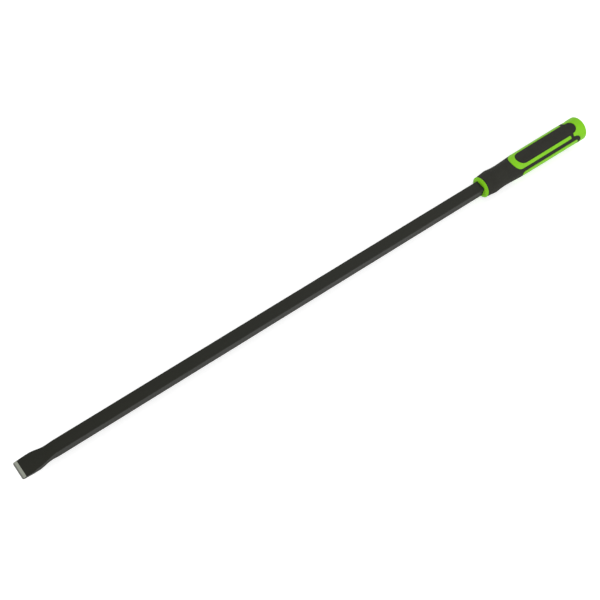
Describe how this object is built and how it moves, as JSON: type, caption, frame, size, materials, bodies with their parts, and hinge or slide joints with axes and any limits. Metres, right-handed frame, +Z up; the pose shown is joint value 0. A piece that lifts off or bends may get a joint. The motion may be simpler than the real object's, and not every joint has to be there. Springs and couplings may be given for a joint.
{
  "type": "straight pry bar",
  "caption": "Long straight pry bar: square steel shank drawn out to a chisel blade, two-colour moulded handle with raised frames, and a steel strike cap let into the heel.",
  "frame": {"origin": "on the surface the bar lies on, under the middle of its length and width", "axes": "+X along the bar from the blade to the strike cap, +Z up, out of one broad face of the blade, +Y across the bar"},
  "size_m": [0.9, 0.0352, 0.0352],
  "materials": {
    "black_steel": "satin black oxide over forged steel, bare ground steel on the blade's bevels",
    "green_plastic": "bright green hard moulding, satin",
    "charcoal_rubber": "charcoal soft moulding, matt",
    "bright_steel": "turned steel, bright"
  },
  "bodies": {
    "root": {"bar": "black_steel", "handle_core": "green_plastic", "soft_grip": "charcoal_rubber", "strike_cap": "bright_steel"}
  },
  "joints": []
}
